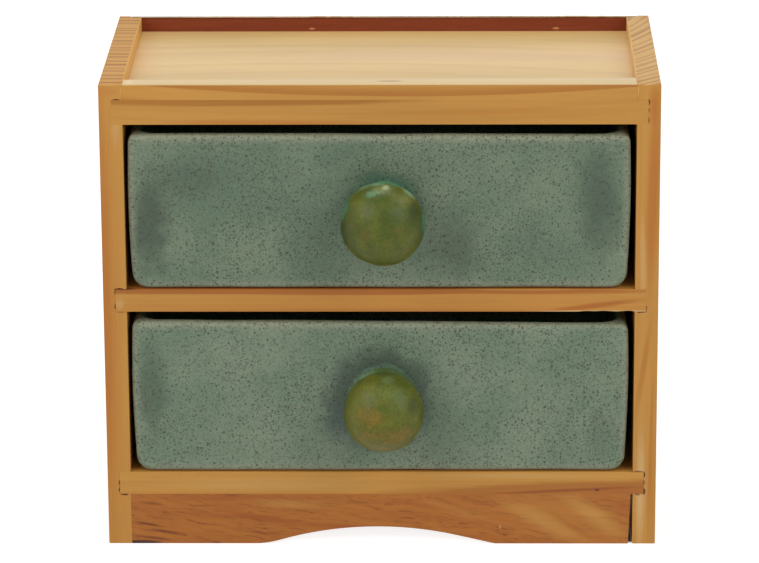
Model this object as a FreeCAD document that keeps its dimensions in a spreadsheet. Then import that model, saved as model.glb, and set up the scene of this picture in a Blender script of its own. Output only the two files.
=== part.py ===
import FreeCAD, Part
import math
import os
import re
import Sketcher

# Tea bag drawer box: a pine case, joined with through dados, and two stoneware drawers that slide
# on its shelves. The top is a shallow tray behind a glued lip, and the apron has a hand-cut arch.
#
# Frame: X to the right, Y from front to back, Z up. The origin is on the surface that the box stands
# on, in the middle of the room that the case and its knobs take. Every length is in millimetres.

SIZES = {
    # Case boards
    "case_width": 285,
    "case_height": 247,
    "case_depth": 150,
    "side_thickness": 12,
    "shelf_thickness": 12,
    "top_thickness": 13,
    "dado_depth": 6,
    "dado_end_gap": 0.3,
    # Lip along the front of the tray; its rear edge was sawn slightly out of square
    "lip_height": 7.8,
    "lip_depth_left": 11.3,
    "lip_depth_right": 14.2,
    # Apron under the bottom shelf; its right end was cut short and out of square
    "apron_height": 27.5,
    "apron_thickness": 12,
    "apron_gap_top": 1.0,
    "apron_gap_bottom": 2.1,
    "arch_rise": 9.4,
    "arch_radius": 180,
    "arch_crown_offset": 2,
    "arch_easing_radius": 46,
    "arch_flank": 20.7,
    # Back panel in the sides' rabbets, and the brads that hold it
    "back_thickness": 3,
    "back_floor_gap": 2,
    "back_side_gap": 0.3,
    "rabbet_width": 6,
    "brad_radius": 0.6,
    "brad_length": 16,
    "brad_head_radius": 1.1,
    "brad_head_height": 0.8,
    "brad_clearance": 0.05,
    "brad_spacing": 130,
    # Drawer tubs and their running gaps in the bays
    "drawer_side_gap": 1.6,
    "drawer_top_gap": 5.05,
    "drawer_slide_gap": 0.3,
    "drawer_back_gap": 0.5,
    "drawer_setback": 0.2,
    "drawer_shift": 0.5,
    "tub_wall": 7,
    "tub_floor": 7,
    "tub_side_bulge": 1.2,
    "tub_foot_taper": 1.3,
    "tub_bottom_round": 8.5,
    "tub_top_round": 4.5,
    "tub_face_round": 2.4,
    "tub_inner_corner_round": 9,
    "tub_inner_floor_round": 6,
    "tub_rim_round": 2.6,
    "upper_rim_drop": 0.4,
    "lower_rim_drop": 1.8,
    # Knobs
    "upper_knob_radius": 21.7,
    "lower_knob_radius": 20.9,
    "knob_belly_reach": 20.5,
    "knob_belly_round": 14,
    "knob_nose": 3,
    "knob_neck_round": 7.5,
    "knob_foot_radius": 17,
    "knob_offset": 2.2,
    "upper_knob_drop": 0.6,
    "lower_knob_drop": 1.6,
}

INNER_HALF_WIDTH = "(case_width / 2 - side_thickness)"
SHELF_HALF_WIDTH = f"({INNER_HALF_WIDTH} + dado_depth - dado_end_gap)"
CARCASS_DEPTH = "(case_depth - back_thickness)"
KNOB_REACH = "(knob_belly_reach + knob_belly_round + knob_nose)"
FRONT = f"(({KNOB_REACH} - drawer_setback - case_depth) / 2)"
REAR = f"({FRONT} + case_depth)"

BAY_HEIGHT = "((case_height - lip_height - top_thickness - 2 * shelf_thickness - apron_height) / 2)"
BOTTOM_SHELF = "apron_height"
LOWER_BAY = "(apron_height + shelf_thickness)"
MIDDLE_SHELF = f"({LOWER_BAY} + {BAY_HEIGHT})"
UPPER_BAY = f"({MIDDLE_SHELF} + shelf_thickness)"
TOP_PANEL = f"({UPPER_BAY} + {BAY_HEIGHT})"
TRAY_FLOOR = "(case_height - lip_height)"

TUB_WIDTH = f"(2 * {INNER_HALF_WIDTH} - 2 * drawer_side_gap)"
TUB_HEIGHT = f"({BAY_HEIGHT} - drawer_slide_gap - drawer_top_gap)"
TUB_DEPTH = f"({CARCASS_DEPTH} - drawer_setback - drawer_back_gap)"

WORD = re.compile(r"[a-z_]{3,}")

document = FreeCAD.newDocument("tea_bag_drawer_box")
sheet = document.addObject("Spreadsheet::Sheet", "Sizes")
for row, (alias, number) in enumerate(SIZES.items(), 1):
    sheet.set(f"A{row}", alias)
    sheet.set(f"B{row}", str(number))
    sheet.setAlias(f"B{row}", alias)
document.recompute()


def formula(text):
    """The same sum with each named size written as its cell of the sheet."""
    return WORD.sub(lambda word: f"Sizes.{word[0]}" if word[0] in SIZES else word[0], text)


def value(text):
    """What a sum of named sizes comes to at present."""
    return float(sheet.evalExpression(formula(text)))


def bind(owner, prop, text):
    owner.setExpression(prop, formula(text))


def place(item, x, y, z):
    """Put a sub-part at its place in the box."""
    for axis, text in zip("xyz", (x, y, z)):
        bind(item, f"Placement.Base.{axis}", text)


# Sketches


def new_body(label):
    body = document.addObject("PartDesign::Body", label)
    body.Label = label
    return body


def new_sketch(body, name, plane, lift="0"):
    """A sketch on one of the body's own planes, lifted along that plane's normal."""
    sketch = body.newObject("Sketcher::SketchObject", name)
    planes = {item.Role: item for item in body.Origin.OriginFeatures}
    sketch.AttachmentSupport = [(planes[plane], "")]
    sketch.MapMode = "FlatFace"
    bind(sketch, "AttachmentOffset.Base.z", lift)
    return sketch


def dimension(sketch, kind, text, *where):
    """A constraint whose size is a sum of named sizes."""
    index = sketch.addConstraint(Sketcher.Constraint(kind, *where, value(text)))
    bind(sketch, f"Constraints[{index}]", text)


def join(sketch, *ends):
    """Make pairs of (curve, end) meet."""
    for (first, first_end), (second, second_end) in ends:
        sketch.addConstraint(Sketcher.Constraint("Coincident", first, first_end, second, second_end))


def fix_point(sketch, curve, end, x, y):
    dimension(sketch, "DistanceX", x, -1, 1, curve, end)
    dimension(sketch, "DistanceY", y, -1, 1, curve, end)


def bowed(start, end, radius):
    """An arc from start to end that bows out to the right of the way from one to the other."""
    half = (end - start) / 2
    bow = radius - math.sqrt(radius**2 - half.Length**2)
    outward = FreeCAD.Vector(half.y, -half.x, 0).normalize()
    return Part.Arc(start, start + half + outward * bow, end)


def outline(sketch, corners, bows=None):
    """A closed outline through the corners; bows gives the radius of each side that is an arc."""
    bows = bows or {}
    points = [FreeCAD.Vector(value(x), value(y), 0) for x, y in corners]
    count = len(points)
    sides = []
    for index, start in enumerate(points):
        end = points[(index + 1) % count]
        if index in bows:
            curve = bowed(start, end, value(bows[index]))
        else:
            curve = Part.LineSegment(start, end)
        sides.append(sketch.addGeometry(curve))
    for index, side in enumerate(sides):
        join(sketch, ((side, 2), (sides[(index + 1) % count], 1)))
        fix_point(sketch, side, 1, *corners[index])
        if index in bows:
            dimension(sketch, "Radius", bows[index], side)


def rectangle(sketch, left, bottom, right, top):
    outline(sketch, [(left, bottom), (right, bottom), (right, top), (left, top)])


def circles(sketch, places, radius):
    for x, y in places:
        centre = FreeCAD.Vector(value(x), value(y), 0)
        circle = sketch.addGeometry(Part.Circle(centre, FreeCAD.Vector(0, 0, 1), value(radius)))
        fix_point(sketch, circle, 3, x, y)
        dimension(sketch, "Radius", radius, circle)


# Features


def pad(body, sketch, name, length):
    feature = body.newObject("PartDesign::Pad", name)
    feature.Profile = sketch
    bind(feature, "Length", length)
    document.recompute()
    return feature


def pocket(body, sketch, name, length=None, along_normal=False):
    """Cut a sketch into the body: to a length, or right through it."""
    volume = body.Shape.Volume
    feature = body.newObject("PartDesign::Pocket", name)
    feature.Profile = sketch
    feature.Reversed = along_normal
    if length is None:
        feature.Type = "ThroughAll"
    else:
        bind(feature, "Length", length)
    document.recompute()
    if not body.Shape.Volume < volume:
        raise ValueError(f"{name} cuts nothing from {body.Label}")


def fillet(body, name, edges, radius):
    """Round the named edges of the body as it stands."""
    base = body.Tip
    feature = body.newObject("PartDesign::Fillet", name)
    feature.Base = (base, edges)
    bind(feature, "Radius", radius)
    document.recompute()


def edge_names(shape, wanted):
    """The names of a shape's edges that are also in a list."""
    return [
        f"Edge{number}"
        for number, edge in enumerate(shape.Edges, 1)
        if any(edge.isSame(other) for other in wanted)
    ]


def flat_faces(shape, direction):
    """A shape's flat faces that look mainly along a direction, the one furthest that way last."""
    faces = [
        face
        for face in shape.Faces
        if isinstance(face.Surface, Part.Plane) and face.normalAt(0, 0).dot(direction) > 0.99
    ]
    return sorted(faces, key=lambda face: face.CenterOfMass.dot(direction))


# Where the brads go, as (x, z) in the box's frame

SIDE_BRAD_X = f"({INNER_HALF_WIDTH} + rabbet_width / 2)"
SIDE_BRAD_HEIGHTS = [
    "apron_height / 2",
    f"{LOWER_BAY} + {BAY_HEIGHT} / 2",
    f"{UPPER_BAY} + {BAY_HEIGHT} / 2",
]
SHELF_BRAD_HEIGHTS = [
    f"{BOTTOM_SHELF} + shelf_thickness / 2",
    f"{MIDDLE_SHELF} + shelf_thickness / 2",
    f"{TOP_PANEL} + top_thickness / 2",
]
BRADS = [(f"{sign}{SIDE_BRAD_X}", z) for sign in ("", "-") for z in SIDE_BRAD_HEIGHTS]
BRADS += [(f"{sign}brad_spacing / 2", z) for sign in ("", "-") for z in SHELF_BRAD_HEIGHTS]


def brad_bores(body, places, reach):
    """Bores from the rear of a board's own frame, where its y is reach, for the brads' shanks."""
    sketch = new_sketch(body, "BradPlaces", "XZ_Plane", f"-{reach}")
    circles(sketch, places, "brad_radius + brad_clearance")
    depth = "brad_length - back_thickness + brad_clearance"
    pocket(body, sketch, "BradBores", depth, along_normal=True)


# Case


def side_panel(label, hand):
    """A side board. Its own x is 0 on its inner face, and hand is - for the left one."""
    body = new_body(label)
    plan = new_sketch(body, "Plan", "XY_Plane")
    outer = f"{hand}side_thickness"
    rabbet = f"{hand}rabbet_width"
    outline(plan, [
        ("0", "0"),
        (outer, "0"),
        (outer, "case_depth"),
        (rabbet, "case_depth"),
        (rabbet, CARCASS_DEPTH),
        ("0", CARCASS_DEPTH),
    ])
    pad(body, plan, "Board", "case_height")

    dados = new_sketch(body, "Dados", "XZ_Plane")
    housed = [
        (BOTTOM_SHELF, "shelf_thickness"),
        (MIDDLE_SHELF, "shelf_thickness"),
        (TOP_PANEL, "top_thickness"),
    ]
    for bottom, thickness in housed:
        rectangle(dados, "0", bottom, f"{hand}dado_depth", f"{bottom} + {thickness}")
    pocket(body, dados, "DadoCuts")

    brad_x = f"{hand}rabbet_width / 2"
    brad_bores(body, [(brad_x, height) for height in SIDE_BRAD_HEIGHTS], CARCASS_DEPTH)
    place(body, f"{hand}{INNER_HALF_WIDTH}", FRONT, "0")
    return body


def shelf(label, height, thickness):
    """A board housed in the sides' dados, with its front edge flush with theirs."""
    body = new_body(label)
    plan = new_sketch(body, "Plan", "XY_Plane")
    rectangle(plan, f"-{SHELF_HALF_WIDTH}", "0", SHELF_HALF_WIDTH, CARCASS_DEPTH)
    pad(body, plan, "Board", thickness)
    places = [(f"{sign}brad_spacing / 2", f"{thickness} / 2") for sign in ("", "-")]
    brad_bores(body, places, CARCASS_DEPTH)
    place(body, "0", FRONT, height)
    return body


def top_front_lip():
    """The strip glued along the front of the top panel, which makes the tray."""
    body = new_body("top_front_lip")
    plan = new_sketch(body, "Plan", "XY_Plane")
    outline(plan, [
        (f"-{INNER_HALF_WIDTH}", "0"),
        (INNER_HALF_WIDTH, "0"),
        (INNER_HALF_WIDTH, "lip_depth_right"),
        (f"-{INNER_HALF_WIDTH}", "lip_depth_left"),
    ])
    pad(body, plan, "Strip", "lip_height")
    place(body, "0", FRONT, TRAY_FLOOR)
    return body


def arched_edge(sketch, left, right):
    """The apron's lower edge: floor line, easing arc, crown arc, straight flank, floor line.

    Returns the first and the last line.
    """
    rise = value("arch_rise")
    crown_radius = value("arch_radius")
    easing_radius = value("arch_easing_radius")
    both = crown_radius + easing_radius
    spread = math.sqrt(rise * (2 * both - rise))
    crown_centre = FreeCAD.Vector(-value("arch_crown_offset"), rise - crown_radius, 0)
    easing_centre = FreeCAD.Vector(crown_centre.x - spread, easing_radius, 0)
    flank_length = value("arch_flank")
    reach = math.hypot(crown_radius, flank_length)
    foot = FreeCAD.Vector(crown_centre.x + math.sqrt(reach**2 - crown_centre.y**2), 0, 0)
    flank_turn = math.asin(-crown_centre.y / reach) + math.atan2(flank_length, crown_radius)
    easing_turn = math.atan2(crown_centre.y - easing_centre.y, spread)
    up = FreeCAD.Vector(0, 0, 1)
    flank_top = crown_centre + FreeCAD.Vector(math.cos(flank_turn), math.sin(flank_turn), 0) * crown_radius

    first, easing, crown, flank, last = sketch.addGeometry([
        Part.LineSegment(FreeCAD.Vector(value(left), 0, 0), FreeCAD.Vector(easing_centre.x, 0, 0)),
        Part.ArcOfCircle(Part.Circle(easing_centre, up, easing_radius), -math.pi / 2, easing_turn),
        Part.ArcOfCircle(Part.Circle(crown_centre, up, crown_radius), flank_turn, easing_turn + math.pi),
        Part.LineSegment(flank_top, foot),
        Part.LineSegment(foot, FreeCAD.Vector(value(right), 0, 0)),
    ])
    join(sketch, ((flank, 2), (last, 1)))
    tangents = [((first, 2), (easing, 1)), ((easing, 2), (crown, 2)), ((crown, 1), (flank, 1))]
    for (one, one_end), (other, other_end) in tangents:
        sketch.addConstraint(Sketcher.Constraint("Tangent", one, one_end, other, other_end))
    sketch.addConstraint([Sketcher.Constraint("Horizontal", line) for line in (first, last)])
    fix_point(sketch, first, 1, left, "0")
    fix_point(sketch, crown, 3, "-arch_crown_offset", "arch_rise - arch_radius")
    dimension(sketch, "Radius", "arch_radius", crown)
    dimension(sketch, "Radius", "arch_easing_radius", easing)
    dimension(sketch, "Distance", "arch_flank", flank)
    fix_point(sketch, last, 2, right, "0")
    return first, last


def front_apron():
    """The board under the bottom shelf, with the arch cut in its lower edge."""
    body = new_body("front_apron")
    face = new_sketch(body, "Face", "XZ_Plane")
    left = f"-{INNER_HALF_WIDTH}"
    right_foot = f"{INNER_HALF_WIDTH} - apron_gap_bottom"
    right_top = f"{INNER_HALF_WIDTH} - apron_gap_top"
    first, last = arched_edge(face, left, right_foot)
    corners = [
        FreeCAD.Vector(value(x), value(z), 0)
        for x, z in [(right_foot, "0"), (right_top, "apron_height"), (left, "apron_height"), (left, "0")]
    ]
    right_end, top, left_end = face.addGeometry(
        [Part.LineSegment(start, end) for start, end in zip(corners, corners[1:])]
    )
    join(
        face,
        ((last, 2), (right_end, 1)),
        ((right_end, 2), (top, 1)),
        ((top, 2), (left_end, 1)),
        ((left_end, 2), (first, 1)),
    )
    fix_point(face, right_end, 2, right_top, "apron_height")
    fix_point(face, top, 2, left, "apron_height")
    board = pad(body, face, "Board", "apron_thickness")
    board.Reversed = True
    document.recompute()
    place(body, "0", FRONT, "0")
    return body


def back_panel():
    """The thin panel in the sides' rabbets, bored for the brads and sunk for their heads."""
    body = new_body("back_panel")
    half_width = f"({INNER_HALF_WIDTH} + rabbet_width - back_side_gap)"
    places = [(x, f"{z} - back_floor_gap") for x, z in BRADS]
    face = new_sketch(body, "Face", "XZ_Plane")
    rectangle(face, f"-{half_width}", "0", half_width, "case_height - back_floor_gap")
    circles(face, places, "brad_radius + brad_clearance")
    pad(body, face, "Sheet", "back_thickness")
    heads = new_sketch(body, "HeadPlaces", "XZ_Plane")
    circles(heads, places, "brad_head_radius + brad_clearance")
    pocket(body, heads, "HeadSinks", "brad_head_height", along_normal=True)
    place(body, "0", REAR, "back_floor_gap")
    return body


def back_panel_brads():
    """All the brads: a shank and a flat head each, driven in flush from the rear."""
    brads = []
    for number, (x, z) in enumerate(BRADS, 1):
        pieces = []
        for name, radius, start, length in (
            ("Shank", "brad_radius", "0", "brad_length"),
            ("Head", "brad_head_radius", "brad_length - brad_head_height", "brad_head_height"),
        ):
            piece = document.addObject("Part::Cylinder", f"{name}{number}")
            bind(piece, "Radius", radius)
            bind(piece, "Height", length)
            piece.Placement.Rotation = FreeCAD.Rotation(FreeCAD.Vector(1, 0, 0), -90)
            place(piece, x, f"{REAR} - brad_length + {start}", z)
            pieces.append(piece)
        brad = document.addObject("Part::Fuse", f"Brad{number}")
        brad.Base, brad.Tool = pieces
        brads.append(brad)
    group = document.addObject("Part::Compound", "back_panel_brads")
    group.Label = "back_panel_brads"
    group.Links = brads
    document.recompute()
    return group


# Drawers


def drawer_tub(label, bay, rim_drop):
    """A stoneware tub with softly bulging sides, round edges and a rim that falls to the right.

    It narrows a little to its foot. Its own origin is the middle of the bottom edge of its face.
    """
    body = new_body(label)
    corner = f"({TUB_WIDTH} / 2 - tub_side_bulge)"
    side_radius = f"(({TUB_HEIGHT} / 2)^2 + tub_side_bulge^2) / (2 * tub_side_bulge)"
    face = new_sketch(body, "Face", "XZ_Plane")
    outline(
        face,
        [
            (f"tub_foot_taper - {corner}", "0"),
            (f"{corner} - tub_foot_taper", "0"),
            (corner, f"{TUB_HEIGHT} - {rim_drop}"),
            (f"-{corner}", TUB_HEIGHT),
        ],
        bows={1: side_radius, 3: side_radius},
    )
    block = pad(body, face, "Block", TUB_DEPTH)
    block.Reversed = True
    document.recompute()

    depth = value(TUB_DEPTH)
    middle = value(TUB_HEIGHT) / 2
    lengthwise = [edge for edge in body.Shape.Edges if edge.BoundBox.YLength > depth / 2]
    for name, radius, low in (("BottomRound", "tub_bottom_round", True), ("TopRound", "tub_top_round", False)):
        edges = [edge for edge in lengthwise if (edge.CenterOfMass.z < middle) == low]
        fillet(body, name, edge_names(body.Shape, edges), radius)
        lengthwise = [
            edge
            for edge in body.Shape.Edges
            if edge.BoundBox.YLength > depth / 2 and edge.CenterOfMass.z > middle
        ]

    wall_share = "min(tub_face_round; 0.55 * tub_wall)"
    for name, direction in (("FaceRound", -1), ("RearRound", 1)):
        flat = flat_faces(body.Shape, FreeCAD.Vector(0, direction, 0))[-1]
        fillet(body, name, edge_names(body.Shape, flat.Edges), wall_share)

    inner_half = f"({TUB_WIDTH} / 2 - tub_wall)"
    cavity = new_sketch(body, "Cavity", "XY_Plane", "tub_floor")
    rectangle(cavity, f"-{inner_half}", "tub_wall", inner_half, f"{TUB_DEPTH} - tub_wall")
    pocket(body, cavity, "Hollow", along_normal=True)

    box_of = [edge for edge in body.Shape.Edges if edge.BoundBox.XLength + edge.BoundBox.YLength < 0.01]
    fillet(body, "InnerCorners", edge_names(body.Shape, box_of), "tub_inner_corner_round")
    up = FreeCAD.Vector(0, 0, 1)
    floor, rim = flat_faces(body.Shape, up)[-2:]
    fillet(body, "InnerFloorRound", edge_names(body.Shape, floor.Edges), "tub_inner_floor_round")
    rim = flat_faces(body.Shape, up)[-1]
    mouth = [edge for wire in rim.Wires if not wire.isSame(rim.OuterWire) for edge in wire.Edges]
    fillet(body, "RimRound", edge_names(body.Shape, mouth), "min(tub_rim_round; 0.38 * tub_wall)")

    place(body, "-drawer_shift", f"{FRONT} + drawer_setback", f"{bay} + drawer_slide_gap")
    return body


def drawer_knob(label, bay, radius, drop):
    """A flattened ball on a flared neck, turned about the axis that leaves the drawer's face.

    It was stuck on by eye, a little under the middle of the face.
    """
    body = new_body(label)
    profile = new_sketch(body, "Profile", "YZ_Plane")
    belly_height = f"({radius} - knob_belly_round)"
    reach = value(KNOB_REACH)
    belly_radius = value("knob_belly_round")
    neck_radius = value("knob_neck_round")
    foot_radius = value("knob_foot_radius")
    flare = neck_radius * math.sqrt(0.5)
    belly_centre = FreeCAD.Vector(-value("knob_belly_reach"), value(belly_height), 0)
    neck_centre = FreeCAD.Vector(-flare, foot_radius + flare, 0)
    depth = reach + belly_centre.x
    cap_radius = (depth**2 + belly_centre.y**2 - belly_radius**2) / (2 * (depth - belly_radius))
    cap_centre = FreeCAD.Vector(cap_radius - reach, 0, 0)
    to_neck = neck_centre - belly_centre
    to_belly = belly_centre - cap_centre
    neck_turn = math.atan2(to_neck.y, to_neck.x)
    cap_turn = math.atan2(to_belly.y, to_belly.x)
    across = FreeCAD.Vector(0, 0, 1)

    cap, belly, neck, foot, axis = profile.addGeometry([
        Part.ArcOfCircle(Part.Circle(cap_centre, across, cap_radius), cap_turn, math.pi),
        Part.ArcOfCircle(Part.Circle(belly_centre, across, belly_radius), neck_turn, cap_turn),
        Part.ArcOfCircle(Part.Circle(neck_centre, across, neck_radius), neck_turn + math.pi, 1.75 * math.pi),
        Part.LineSegment(FreeCAD.Vector(0, 0, 0), FreeCAD.Vector(0, foot_radius, 0)),
        Part.LineSegment(FreeCAD.Vector(-reach, 0, 0), FreeCAD.Vector(0, 0, 0)),
    ])
    join(profile, ((cap, 2), (axis, 1)), ((neck, 2), (foot, 2)), ((axis, 2), (foot, 1)), ((foot, 1), (-1, 1)))
    for one, one_end, other, other_end in ((cap, 1, belly, 2), (belly, 1, neck, 1)):
        profile.addConstraint(Sketcher.Constraint("Tangent", one, one_end, other, other_end))
    profile.addConstraint([
        Sketcher.Constraint("Horizontal", axis),
        Sketcher.Constraint("Vertical", foot),
        Sketcher.Constraint("PointOnObject", cap, 3, -1),
    ])
    dimension(profile, "DistanceX", KNOB_REACH, axis, 1, axis, 2)
    dimension(profile, "DistanceY", "knob_foot_radius", foot, 1, foot, 2)
    dimension(profile, "Radius", "knob_belly_round", belly)
    dimension(profile, "Radius", "knob_neck_round", neck)
    fix_point(profile, belly, 3, "-knob_belly_reach", belly_height)

    turned = body.newObject("PartDesign::Revolution", "Turned")
    turned.Profile = profile
    turned.ReferenceAxis = (profile, ["H_Axis"])
    turned.Angle = 360
    document.recompute()
    centre = f"{bay} + drawer_slide_gap + {TUB_HEIGHT} / 2 - {drop}"
    place(body, "knob_offset - drawer_shift", f"{FRONT} + drawer_setback", centre)
    return body


def check(item):
    """Stop if a sub-part did not build."""
    shape = item.Shape
    if shape.isNull() or not shape.isValid():
        raise ValueError(f"{item.Label} has no sound shape")


def build():
    parts = [
        side_panel("left_side_panel", "-"),
        side_panel("right_side_panel", ""),
        shelf("top_panel", TOP_PANEL, "top_thickness"),
        shelf("middle_shelf", MIDDLE_SHELF, "shelf_thickness"),
        shelf("bottom_shelf", BOTTOM_SHELF, "shelf_thickness"),
        top_front_lip(),
        front_apron(),
        back_panel(),
        back_panel_brads(),
    ]
    for level, bay in (("upper", UPPER_BAY), ("lower", LOWER_BAY)):
        parts.append(drawer_tub(f"{level}_drawer_tub", bay, f"{level}_rim_drop"))
        parts.append(drawer_knob(f"{level}_drawer_knob", bay, f"{level}_knob_radius", f"{level}_knob_drop"))
    document.recompute()
    for item in document.Objects:
        if "Invalid" in item.State or "Error" in item.State:
            raise ValueError(f"{item.Label} failed to build")
    for item in parts:
        check(item)
    return parts


os.makedirs("parts", exist_ok=True)
for part in build():
    part.Shape.exportStep(f"parts/{part.Label}.step")
    solids = len(part.Shape.Solids)
    print(f"{part.Label}: {solids} solid(s), {part.Shape.Volume / 1000:.2f} cm3")
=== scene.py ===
import math

import bmesh
import bpy
import numpy as np
from mathutils import Matrix, Vector


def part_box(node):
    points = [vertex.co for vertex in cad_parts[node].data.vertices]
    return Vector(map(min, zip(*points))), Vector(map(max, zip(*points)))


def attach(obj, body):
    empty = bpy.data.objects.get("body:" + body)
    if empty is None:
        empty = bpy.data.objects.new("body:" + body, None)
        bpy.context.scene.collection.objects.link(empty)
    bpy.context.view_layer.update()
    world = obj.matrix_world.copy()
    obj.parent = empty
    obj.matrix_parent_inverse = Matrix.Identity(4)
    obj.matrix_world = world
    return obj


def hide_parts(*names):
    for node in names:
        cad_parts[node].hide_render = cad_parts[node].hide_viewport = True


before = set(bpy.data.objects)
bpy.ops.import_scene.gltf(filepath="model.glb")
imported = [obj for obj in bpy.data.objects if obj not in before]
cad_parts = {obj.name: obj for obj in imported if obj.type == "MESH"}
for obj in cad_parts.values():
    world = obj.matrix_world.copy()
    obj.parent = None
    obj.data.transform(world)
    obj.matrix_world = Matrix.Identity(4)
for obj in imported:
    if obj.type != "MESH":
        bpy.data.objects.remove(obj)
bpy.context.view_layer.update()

# Tea bag drawer box: a pine case with through dados, and two glazed stoneware drawers.
# Lengths are in metres unless a name or a comment says millimetres.

MM = 0.001


# Nodes. Each goes in the tree that its inputs come from.


def srgb(red, green, blue):
    """A colour given as 0 to 255 for each channel, as the linear colour that Blender reads."""
    def linear(part):
        part /= 255
        return part / 12.92 if part <= 0.04045 else ((part + 0.055) / 1.055) ** 2.4
    return (linear(red), linear(green), linear(blue), 1.0)


def feed(made, inputs):
    """Give a node its inputs, each a value or another node's output. Returns the node's tree."""
    for key, given in inputs.items():
        if isinstance(given, bpy.types.NodeSocket):
            made.id_data.links.new(given, made.inputs[key])
        else:
            made.inputs[key].default_value = given
    return made.id_data


def node(kind, inputs, tree=None, **settings):
    """Make a node with its inputs and settings, and return its outputs.

    The tree is named only where no input comes from another node.
    """
    if tree is None:
        tree = next(given.id_data for given in inputs.values() if isinstance(given, bpy.types.NodeSocket))
    made = tree.nodes.new(kind)
    for name, setting in settings.items():
        setattr(made, name, setting)
    feed(made, inputs)
    return made.outputs


def calc(operation, *values):
    return node("ShaderNodeMath", dict(enumerate(values)), operation=operation)[0]


def plus(first, second):
    return calc("ADD", first, second)


def minus(first, second):
    return calc("SUBTRACT", first, second)


def times(value, *factors):
    for factor in factors:
        value = calc("MULTIPLY", value, factor)
    return value


def scaled(value, factor, more):
    """A value times a factor, and then more added to it."""
    return calc("MULTIPLY_ADD", value, factor, more)


def remap(given, low, high, to_low=0.0, to_high=1.0, easing="SMOOTHSTEP"):
    """A value taken smoothly from one range to another, and held at its ends."""
    inputs = {"Value": given, "From Min": low, "From Max": high, "To Min": to_low, "To Max": to_high}
    return node("ShaderNodeMapRange", inputs, interpolation_type=easing)[0]


def move(operation, first, second):
    """The vector that a Vector Math node puts out."""
    return node("ShaderNodeVectorMath", {0: first, 1: second}, operation=operation)[0]


def stretched(vector, x, y, z):
    """Coordinates with each axis multiplied by its own number."""
    return move("MULTIPLY", vector, (x, y, z))


def in_mm(vector):
    return stretched(vector, 1000, 1000, 1000)


def resized(vector, factor):
    return node("ShaderNodeVectorMath", {0: vector, "Scale": factor}, operation="SCALE")[0]


def length(vector):
    return node("ShaderNodeVectorMath", {0: vector}, operation="LENGTH")["Value"]


def turned(vector, angle):
    """Coordinates turned about Y, which lifts a pattern's right end by the angle."""
    return node("ShaderNodeVectorRotate", {"Vector": vector, "Angle": angle}, rotation_type="Y_AXIS")[0]


def axes(vector):
    """A vector's numbers, as X, Y and Z."""
    return node("ShaderNodeSeparateXYZ", {0: vector})


def joined(*numbers):
    """A vector from its three numbers."""
    return node("ShaderNodeCombineXYZ", dict(enumerate(numbers)))[0]


def mix(share, first, second, mode="MIX"):
    """Two colours blended by a share. Each is another node's, or three numbers from 0 to 255."""
    first, second = (srgb(*colour) if isinstance(colour, tuple) else colour for colour in (first, second))
    inputs = {0: share, 6: first, 7: second}
    return node("ShaderNodeMix", inputs, data_type="RGBA", blend_type=mode)[2]


def toned(colour, tone):
    """A colour made darker or paler, as it is multiplied by a tone."""
    tone = node("ShaderNodeCombineColor", {0: tone, 1: tone, 2: tone})[0]
    return mix(1.0, colour, tone, "MULTIPLY")


def noise(vector, scale, detail=2.0, roughness=0.5, output=0):
    """A noise texture's value, or its colour where output is 1."""
    inputs = {"Vector": vector, "Scale": scale, "Detail": detail, "Roughness": roughness}
    return node("ShaderNodeTexNoise", inputs)[output]


def bump(height, strength, distance):
    """A bump of a height given in metres at full strength."""
    return node("ShaderNodeBump", {"Strength": strength, "Distance": distance, "Height": height})[0]


def new_group(name, sizes, results):
    """A shader node group. Returns its inputs, its Vector input in millimetres and its output node.

    sizes gives each other input's default, a number or a vector. Every result is a number.
    """
    tree = bpy.data.node_groups.new(name, "ShaderNodeTree")
    for label, default in {"Vector": (0, 0, 0), **sizes}.items():
        kind = "Vector" if isinstance(default, tuple) else "Float"
        socket = tree.interface.new_socket(label, in_out="INPUT", socket_type=f"NodeSocket{kind}")
        socket.default_value = default
    for label in results:
        tree.interface.new_socket(label, in_out="OUTPUT", socket_type="NodeSocketFloat")
    given = tree.nodes.new("NodeGroupInput").outputs
    return given, in_mm(given["Vector"]), tree.nodes.new("NodeGroupOutput")


def use(group, inputs):
    """Place a group in a material, with its own values. Returns its outputs."""
    return node("ShaderNodeGroup", inputs, node_tree=group)


def growth_ring_group():
    """Growth rings round a pith, in board coordinates whose Z runs along the grain.

    Pith is where the tree's centre lies, in millimetres across the board. Lean tilts the rings
    along the grain, and Bow curves them, each in millimetres at 100 mm from the board's middle.
    Uneven makes some years wider than others.
    """
    sizes = {"Pith": (0, 0, 0), "Spacing": 6.0, "Lean": 0.0, "Bow": 0.0, "Wander": 1.5, "Uneven": 0.8}
    given, spot, out = new_group("growth_rings", sizes, ["Late Wood", "Ring Tone"])
    wander = noise(stretched(spot, 0.02, 0.02, 0.006), 1.0)
    wander = times(minus(wander, 0.5), given["Wander"])
    radius = length(stretched(move("SUBTRACT", spot, given["Pith"]), 1, 1, 0))
    along = calc("DIVIDE", axes(spot)["Z"], 100.0)
    tilt = plus(times(along, given["Lean"]), times(along, along, given["Bow"]))
    phase = calc("DIVIDE", plus(plus(radius, wander), tilt), given["Spacing"])
    years = {"W": phase, "Scale": 0.7, "Detail": 0.0}
    years = node("ShaderNodeTexNoise", years, noise_dimensions="1D")[0]
    phase = scaled(minus(years, 0.5), given["Uneven"], phase)
    share, number = calc("FRACT", phase), calc("FLOOR", phase)
    tone = node("ShaderNodeTexWhiteNoise", {"W": number}, noise_dimensions="1D")[0]
    late = times(remap(share, 0.42, 0.9), remap(share, 0.93, 1.0, 1.0, 0.0), scaled(tone, 0.5, 0.55))
    return feed(out, {"Late Wood": late, "Ring Tone": tone})


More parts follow.
